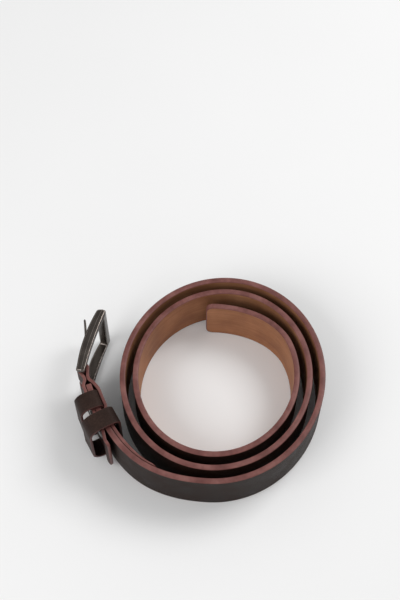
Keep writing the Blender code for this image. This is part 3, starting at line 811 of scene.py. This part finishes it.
def build_chape():
    route, strap_at = chape_route()
    bar = int(np.argmin(strap_at))
    weights = np.where(np.arange(len(strap_at)) > bar, tail_weight(strap_at), 1.0)

    def half_thickness(x):
        return CHAPE_THICKNESS / 2 * np.interp(x, route.distances, weights)

    end = route.length
    top = STRAP_WIDTH / 2 - CHAPE_DOME
    corner = CHAPE_CORNER
    ease = CHAPE_DOME + corner * (1 - np.sin(np.radians(np.arange(0, 91, 10))))
    stations = np.concatenate(
        [ease[::-1], np.arange(ease[0] + CHAPE_STEP, end - ease[0], CHAPE_STEP), end - ease]
    )
    from_end = np.minimum(stations, end - stations) - CHAPE_DOME
    from_end = np.clip(from_end, 0, corner)
    halves = top - corner + np.sqrt(np.clip(corner**2 - (corner - from_end) ** 2, 0, None))
    thick = half_thickness(stations)
    body = flat_strip("chape_leather_body", CHAPE, stations, halves, -thick, thick, 8)
    slot_from, slot_to = (
        route.nearest(np.array((*plan_offset(SLOT_EDGE_AT, offset), mid_height(0))))
        for offset in (SLOT_LEG_OFFSET, -SLOT_LEG_OFFSET)
    )
    radius = SLOT_HEIGHT / 2
    slot = arc((slot_to - radius, 0), radius, -90, 90, 16)
    slot += run(slot_to - radius, slot_from + radius, radius, 1.0, CHAPE_STEP)
    slot += arc((slot_from + radius, 0), radius, 90, 270, 16)
    slot += run(slot_from + radius, slot_to - radius, -radius, -1.0, CHAPE_STEP)
    depth = SLOT_CUTTER_DEPTH / 2
    tool_rows = [(x, y, z) for z in (-depth, depth) for x, y, _, _ in slot]
    count = len(slot)
    tool_faces = grid_faces(2, count, closed_columns=True)
    tool_faces += [tuple(range(count)), tuple(range(count, 2 * count))]
    combine(body, new_object("slot_tool", tool_rows, tool_faces, CHAPE), "DIFFERENCE")
    seat_middle = CHAPE_THICKNESS / 2 - COUNTERBORE_DEPTH + SEAT_CUTTER_LENGTH / 2
    for at in POSTS.values():
        for offset in (front_leg(at), -back_leg(at)):
            place = np.array((*plan_offset(at, offset), mid_height(at)))
            punch(body, route.nearest(place), 0, POST_RADIUS + GAP)
        place = np.array((*plan_offset(at, front_leg(at)), mid_height(at)))
        seat_radius = POST_HEAD_RADIUS + GAP
        seat_at = route.nearest(place)
        punch(body, seat_at, 0, seat_radius, depth=SEAT_CUTTER_LENGTH, middle=seat_middle)
    belongs(bend(body, route), "strap", "chape_leather", "chape")
    outline = arc((end - CHAPE_DOME - corner, top - corner), corner, 90, 0, 8)
    outline += arc((end - CHAPE_DOME - corner, corner - top), corner, 0, -90, 8)
    outline += run(end - CHAPE_DOME - corner, CHAPE_DOME + corner, -top, -1.0, CHAPE_STEP)
    outline += arc((CHAPE_DOME + corner, corner - top), corner, 270, 180, 8)
    outline += arc((CHAPE_DOME + corner, top - corner), corner, 180, 90, 8)
    outline += run(CHAPE_DOME + corner, end - CHAPE_DOME - corner, top, 1.0, CHAPE_STEP)
    inwards = [(x, y, -out_x, -out_y) for x, y, out_x, out_y in slot]
    bead = edge_bead(
        "chape_painted_edge", PAINT, [(outline, True), (inwards, True)], half_thickness, CHAPE_DOME
    )
    belongs(bend(bead, route), "strap", "edge_paint")


# ---------------------------------------------------------------- keepers


def keeper_route(at, back, front, half_height, back_radius, front_radius, dome):
    """The loop's middle, from its butt joint in the back wall round to it again."""
    half = KEEPER_THICKNESS / 2
    back, front, half_height = back - half, front + half, half_height + half
    back_radius, front_radius = back_radius + half, front_radius + half
    corners = (
        (front - front_radius, half_height - front_radius, front_radius, 0),
        (back + back_radius, half_height - back_radius, back_radius, 90),
        (back + back_radius, back_radius - half_height, back_radius, 180),
        (front - front_radius, front_radius - half_height, front_radius, 270),
    )
    loop = []
    for out, up, radius, start in corners:
        for i in range(KEEPER_CORNER_STEPS + 1):
            angle = math.radians(start + 90 * i / KEEPER_CORNER_STEPS)
            loop.append((out + radius * math.cos(angle), up + radius * math.sin(angle)))
    loop = np.array(loop + loop[:1])
    steps = np.concatenate([[0.0], np.cumsum(np.hypot(*np.diff(loop, axis=0).T))])
    even = np.linspace(0, steps[-1], KEEPER_LOOP_POINTS)[:-1]
    loop = np.stack([np.interp(even, steps, loop[:, i]) for i in (0, 1)], axis=1)
    middle, reach = (back + front) / 2, (front - back) / 2
    loop[:, 1] += dome * (1 - ((loop[:, 0] - middle) / reach) ** 2) * loop[:, 1] / half_height
    behind = np.abs(loop[:, 1]) + 1.0 * (loop[:, 0] > middle)
    loop = np.roll(loop, -int(np.argmin(behind)), axis=0)
    loop = np.concatenate([loop, loop[:1]])
    tangents = np.gradient(loop, axis=0)
    tangents[0] = tangents[-1] = (0.0, -1.0)
    tangents = unit(tangents)
    outer = np.stack([tangents[:, 1], -tangents[:, 0]], axis=1)
    turn = np.array(strap_frame(at))
    points = turn[:3, 3] + loop[:, :1] * turn[:3, 2] + loop[:, 1:] * turn[:3, 1]
    out = outer[:, :1] * turn[:3, 2] + outer[:, 1:] * turn[:3, 1]
    across = np.tile(turn[:3, 0], (len(loop), 1))
    return Route(points, out, across)


def build_keeper(node, body_name):
    route = keeper_route(*KEEPERS[node])
    start, end = KEEPER_JOINT / 2, route.length - KEEPER_JOINT / 2
    half_width = KEEPER_WIDTH / 2 - KEEPER_DOME
    half = KEEPER_THICKNESS / 2
    stations = np.linspace(start, end, KEEPER_STATIONS)
    halves = [half_width] * KEEPER_STATIONS
    body = flat_strip(node + "_leather", KEEPER, stations, halves, -half, half)
    if node == "loose_keeper":
        for at in (STAPLE_HALF_CROWN, route.length - STAPLE_HALF_CROWN):
            punch(body, at, 0, WIRE_RADIUS + STAPLE_HOLE_GAP, segments=20)
    else:
        for at in (0, route.length):
            punch(body, at, 0, POST_RADIUS + GAP)
    belongs(bend(body, route), body_name, "keeper_leather", node)
    outlines = [
        ([(x, side * half_width, 0.0, side) for x in stations], False) for side in (1.0, -1.0)
    ]
    bead = edge_bead(node + "_cut_edges", DARK_PAINT, outlines, lambda x: half, KEEPER_DOME)
    belongs(bend(bead, route), body_name, "edge_paint")


def build_staple():
    """A wire staple that bridges the loose keeper's butt joint from outside."""
    at, back_inner = KEEPERS["loose_keeper"][:2]
    crown = back_inner - KEEPER_THICKNESS - GAP - WIRE_RADIUS
    leg_end = back_inner + STAPLE_LEG_PROUD
    bend_up, bend_out = STAPLE_HALF_CROWN - STAPLE_BEND, crown + STAPLE_BEND
    upper = [(STAPLE_HALF_CROWN, leg_end)]
    for i in range(STAPLE_BEND_STEPS + 1):
        angle = math.radians(90 * i / STAPLE_BEND_STEPS)
        upper.append(
            (bend_up + STAPLE_BEND * math.cos(angle), bend_out - STAPLE_BEND * math.sin(angle))
        )
    route = upper + [(-up, out) for up, out in reversed(upper)]
    curve = bpy.data.curves.new("staple_wire", "CURVE")
    curve.dimensions = "3D"
    curve.bevel_depth = WIRE_RADIUS
    curve.bevel_resolution = 6
    curve.use_fill_caps = True
    spline = curve.splines.new("POLY")
    spline.points.add(len(route) - 1)
    for point, (up, out) in zip(spline.points, route):
        point.co = (0, up, out, 1)
    source = bpy.data.objects.new("staple_wire", curve)
    bpy.context.scene.collection.objects.link(source)
    bpy.context.view_layer.update()
    graph = bpy.context.evaluated_depsgraph_get()
    mesh = bpy.data.meshes.new_from_object(source.evaluated_get(graph))
    bpy.data.objects.remove(source)
    work = bmesh.new()
    work.from_mesh(mesh)
    bmesh.ops.remove_doubles(work, verts=work.verts, dist=0.001 * MM)
    bmesh.ops.recalc_face_normals(work, faces=work.faces)
    work.to_mesh(mesh)
    work.free()
    mesh.materials.clear()
    mesh.materials.append(STEEL)
    mesh.transform(strap_frame(at))
    mesh.shade_smooth()
    mesh.set_sharp_from_angle(angle=math.radians(50))
    staple = bpy.data.objects.new("keeper_staple_wire", mesh)
    bpy.context.scene.collection.objects.link(staple)
    belongs(staple, "keeper_loop", "steel", "loose_keeper_staple")


# ---------------------------------------------------------------- screw posts


def build_fastener(label, at):
    leg_face = STRAP_THICKNESS / 2 + GAP + CHAPE_THICKNESS
    head_top = leg_face + HEAD_PROUD
    head_low = head_top - POST_HEAD_THICKNESS
    back_face = -float(back_leg(at)) - CHAPE_THICKNESS / 2
    screw_low = back_face - GAP - POST_HEAD_THICKNESS
    barrel_end = back_face + BARREL_SHORT
    place = strap_frame(at)
    post = revolve(
        label + "_post_turned",
        STEEL,
        [
            (TURNED_CENTRE, head_top + HEAD_CROWN),
            (HEAD_CROWN_RADIUS, head_top + HEAD_CROWN_SHOULDER),
            *rounded(POST_HEAD_RADIUS, head_top, HEAD_EDGE, 1),
            (POST_HEAD_RADIUS, head_low),
            (POST_RADIUS, head_low),
            (POST_RADIUS, barrel_end),
            (POST_BORE_RADIUS, barrel_end),
            (POST_BORE_RADIUS, BORE_FLOOR),
            (TURNED_CENTRE, BORE_FLOOR),
        ],
        place,
    )
    belongs(post, "strap", "steel", label + "_post")
    screw = revolve(
        label + "_screw_turned",
        STEEL,
        [
            (TURNED_CENTRE, SCREW_END),
            (SCREW_RADIUS - THREAD_CHAMFER, SCREW_END),
            (SCREW_RADIUS, SCREW_END - THREAD_CHAMFER),
            (SCREW_RADIUS, back_face - GAP),
            (POST_HEAD_RADIUS, back_face - GAP),
            *reversed(rounded(POST_HEAD_RADIUS, screw_low, HEAD_EDGE, -1)),
            (TURNED_CENTRE, screw_low),
        ],
        place,
    )
    work = bmesh.new()
    bmesh.ops.create_cube(work, size=1)
    bmesh.ops.scale(work, verts=work.verts, vec=DRIVER_SLOT)
    bmesh.ops.translate(work, verts=work.verts, vec=(0, 0, screw_low))
    mesh = bpy.data.meshes.new("driver")
    work.to_mesh(mesh)
    work.free()
    mesh.transform(place)
    driver = bpy.data.objects.new("driver", mesh)
    bpy.context.scene.collection.objects.link(driver)
    combine(screw, driver, "DIFFERENCE")
    belongs(screw, "strap", "steel", label + "_screw")


# ---------------------------------------------------------------- buckle


def bar_axis():
    """The heel bar's axis: X towards the far bar and Y towards the buckle's front."""
    place = (*plan_point(BAR_AT), float(mid_height(BAR_AT)))
    return Matrix.Translation(place) @ Matrix.Rotation(math.pi / 2 - FRAME_TURN, 4, "Z")


def bow(x):
    middle = (FRAME_REACH - FRAME_BEHIND_BAR) / 2
    reach = (FRAME_REACH + FRAME_BEHIND_BAR) / 2
    return 1 - ((x - middle) / reach) ** 2


def frame_outline(steps=8, outer_radius=1.2 * MM, inner_radius=0.9 * MM, arm_steps=22):
    """Matched outer and inner points (x, z) from the upper arm's heel end to the lower arm's."""
    top, clear = FRAME_HEIGHT / 2, FRAME_CLEAR_HEIGHT / 2
    far, inner_far = FRAME_REACH, FRAME_REACH - FAR_BAR_WIDTH
    outer, inner = [], []
    for i in range(arm_steps + 1):
        part = i / arm_steps
        outer.append((-FRAME_BEHIND_BAR + (far - outer_radius + FRAME_BEHIND_BAR) * part, top))
        inner.append(
            (-FRAME_BEHIND_BAR + (inner_far - inner_radius + FRAME_BEHIND_BAR) * part, clear)
        )
    for i in range(1, steps + 1):
        angle = math.radians(90 - 90 * i / steps)
        turn = np.array((math.cos(angle), math.sin(angle)))
        outer.append(np.array((far - outer_radius, top - outer_radius)) + outer_radius * turn)
        inner.append(np.array((inner_far - inner_radius, clear - inner_radius)) + inner_radius * turn)
    for i in range(1, FAR_BAR_STEPS):
        part = i / FAR_BAR_STEPS
        outer.append((far, (top - outer_radius) * (1 - part)))
        inner.append((inner_far, (clear - inner_radius) * (1 - part)))
    outer.append((far, 0.0))
    inner.append((inner_far, 0.0))
    outer += [(x, -z) for x, z in reversed(outer[:-1])]
    inner += [(x, -z) for x, z in reversed(inner[:-1])]
    return np.array(outer), np.array(inner)


def frame_section(width, front, back):
    """Bevelled section as (depth in from the outer side, y): two outer facets meet at a ridge."""
    ridge = back + RIDGE_PART * (front - back)
    return [
        (0.0, ridge),
        (FACET_TURN[0], front - FACET_TURN[1]),
        (FRONT_FLAT_FROM, front),
        (width - INNER_BEVEL, front),
        (width, front - INNER_BEVEL),
        (width, back + BACK_BEVEL),
        (width - BACK_BEVEL, back),
        (BACK_FLAT_TO, back),
        (BACK_FACET[0], back + BACK_FACET[1]),
    ]


def build_frame(axis):
    outer, inner = frame_outline()
    vertices = []
    last = len(outer) - 1
    for i, (out_point, in_point) in enumerate(zip(outer, inner)):
        width = float(np.linalg.norm(out_point - in_point))
        inward = (in_point - out_point) / width
        front = FRAME_HALF_DEPTH + FRONT_BOW * bow(out_point[0])
        back = BACK_BOW * bow(out_point[0]) - FRAME_HALF_DEPTH
        section = frame_section(width, front, back)
        if i in (0, last):
            centre = (width / 2, (front + back) / 2)
            section = [
                (d + (centre[0] - d) * ARM_END_TAPER[0], y + (centre[1] - y) * ARM_END_TAPER[1])
                for d, y in section
            ]
        shift = 0.0
        if i in (1, last - 1):
            shift = out_point[0] - (-FRAME_BEHIND_BAR + ARM_END_LENGTH)
        for d, y in section:
            x, z = out_point + inward * d
            vertices.append((x - shift, y, z))
    count = len(vertices) // len(outer)
    faces = grid_faces(last + 1, count, closed_columns=True)
    faces += [tuple(range(count)), tuple(range(last * count, (last + 1) * count))]
    buckle = new_object("buckle_frame_bevelled", vertices, faces, GUNMETAL, 14)
    buckle.data.materials.append(EDGE_WEAR_AND_HIGHLIGHT)
    bevel = buckle.modifiers.new("soft_edges", "BEVEL")
    bevel.width = FRAME_BEVEL
    # The bevel faces take the lighter metal: painted highlight lines on the edges, with some edge wear
    bevel.material = 1
    bevel.segments = 3
    bevel.limit_method = "ANGLE"
    bevel.angle_limit = math.radians(11)
    bpy.context.view_layer.update()
    apply_modifiers(buckle, 50)
    seat_reach = FRAME_CLEAR_HEIGHT / 2 + BAR_SEAT_DEPTH + GAP
    work = bmesh.new()
    radius = BAR_RADIUS + GAP
    bmesh.ops.create_cone(
        work, cap_ends=True, segments=48, radius1=radius, radius2=radius, depth=2 * seat_reach
    )
    mesh = bpy.data.meshes.new("seats")
    work.to_mesh(mesh)
    work.free()
    seats = bpy.data.objects.new("seats", mesh)
    bpy.context.scene.collection.objects.link(seats)
    combine(buckle, seats, "DIFFERENCE")
    buckle.data.transform(axis)
    belongs(buckle, "buckle", "gunmetal", "buckle_frame")
    bar_end = FRAME_CLEAR_HEIGHT / 2 + BAR_SEAT_DEPTH
    profile = [(END_CENTRE, bar_end), *rounded(BAR_RADIUS, bar_end, BAR_END_EDGE, 1)]
    profile += [(radius, -height) for radius, height in reversed(profile)]
    bar = revolve("heel_bar_turned", STEEL, profile, axis)
    belongs(bar, "buckle", "steel", "heel_bar")


def build_prong(axis):
    """A tongue with a ring round the heel bar: it dips into the frame and lifts over the far bar."""
    stations = np.linspace(PRONG_START, PRONG_REACH - PRONG_TIP_EASE, 40)
    ease = PRONG_REACH - PRONG_TIP_EASE * (1 - np.sin(np.radians(np.arange(10, 86, 12.5))))
    sides = 28
    turns = np.arange(sides) * math.tau / sides
    round_y = np.sign(np.sin(turns)) * np.abs(np.sin(turns)) ** PRONG_SQUARENESS
    round_z = np.sign(np.cos(turns)) * np.abs(np.cos(turns)) ** PRONG_SQUARENESS
    vertices = []
    for x in [*stations, *ease]:
        part = x / PRONG_REACH
        middle = PRONG_OFFSET - PRONG_DIP * math.sin(math.pi * part) + PRONG_TIP_LIFT * part**2
        thinned = (PRONG_HALF_THICKNESS - PRONG_TIP_HALF_THICKNESS) * part
        past = max(0.0, (x - PRONG_REACH + PRONG_TIP_EASE) / PRONG_TIP_EASE)
        shrink = math.sqrt(max(1 - past**2, 0.0))
        thick = (PRONG_HALF_THICKNESS - thinned) * shrink
        kept = PRONG_TIP_PART + (1 - PRONG_TIP_PART) * shrink
        high = PRONG_HALF_HEIGHT * (1 - PRONG_NARROWING * part) * kept
        for y, z in zip(round_y, round_z):
            vertices.append((x, middle + thick * y, high * z))
    rows = len(stations) + len(ease)
    faces = grid_faces(rows, sides, closed_columns=True)
    faces += [tuple(range(sides)), tuple(range((rows - 1) * sides, rows * sides))]
    prong = new_object("prong_forged", vertices, faces, GUNMETAL, 40)
    half_ring = PRONG_RING_HEIGHT / 2
    profile = [(END_CENTRE, half_ring), *rounded(PRONG_RING_RADIUS, half_ring, PRONG_RING_EDGE, 1)]
    profile += [(radius, -height) for radius, height in reversed(profile)]
    ring = revolve("prong_ring", GUNMETAL, profile, Matrix.Identity(4))
    combine(prong, ring, "UNION")
    bore = BAR_RADIUS + GAP
    bore_ends = [(bore, PRONG_BORE_REACH), (bore, -PRONG_BORE_REACH)]
    bore_tool = revolve("prong_bore", GUNMETAL, bore_ends, Matrix.Identity(4))
    combine(prong, bore_tool, "DIFFERENCE")
    prong.data.transform(axis @ Matrix.Rotation(PRONG_OPEN, 4, "Z"))
    belongs(prong, "tongue", "gunmetal", "prong")


# ---------------------------------------------------------------- stage


def area_light(name, place, target, size, power):
    data = bpy.data.lights.new(name, "AREA")
    data.shape = "RECTANGLE"
    data.size, data.size_y = size
    data.energy = power
    made = bpy.data.objects.new(name, data)
    bpy.context.scene.collection.objects.link(made)
    made.location = place
    made.rotation_euler = (Vector(target) - Vector(place)).to_track_quat("-Z", "Y").to_euler()


def build_stage():
    scene = bpy.context.scene
    scene.view_settings.view_transform = "Standard"
    paper = Finish("pale_floor", 0.85, specular=0.2)
    shade = paper.noise(paper.places(), 6.0, 2.0)
    tone = paper.tones(shade, ((0.0, (0.84, 0.84, 0.84)), (1.0, (0.87, 0.87, 0.87))))
    half = FLOOR_HALF
    floor = new_object(
        "floor",
        [(-half, -half, 0), (half, -half, 0), (half, half, 0), (-half, half, 0)],
        [(0, 1, 2, 3)],
        paper.done(tone),
    )
    if floor.data.polygons[0].normal.z < 0:
        floor.data.flip_normals()
    world = bpy.data.worlds.new("studio")
    world.use_nodes = True
    background = world.node_tree.nodes["Background"]
    background.inputs["Color"].default_value = (1.0, 1.0, 1.0, 1)
    background.inputs["Strength"].default_value = WORLD_STRENGTH
    scene.world = world
    area_light("key_softbox", (0.75, 0.5, 1.1), (0, 0, 0), (0.7, 0.7), 9.5)
    area_light("left_fill", (-0.8, -0.55, 0.9), (0, 0, 0), (0.8, 0.8), 6.5)
    camera_data = bpy.data.cameras.new("camera")
    camera_data.lens = CAMERA_LENS
    camera_data.sensor_width = CAMERA_SENSOR
    camera = bpy.data.objects.new("camera", camera_data)
    scene.collection.objects.link(camera)
    camera.location = CAMERA_AT
    camera.rotation_euler = (Vector(CAMERA_AIM) - camera.location).to_track_quat("-Z", "Y").to_euler()
    scene.camera = camera


def main():
    build_stage()
    build_strap()
    build_chape()
    build_keeper("fixed_keeper", "strap")
    build_keeper("loose_keeper", "keeper_loop")
    build_staple()
    for label, at in POSTS.items():
        build_fastener(label, at)
    axis = bar_axis()
    build_frame(axis)
    build_prong(axis)


main()
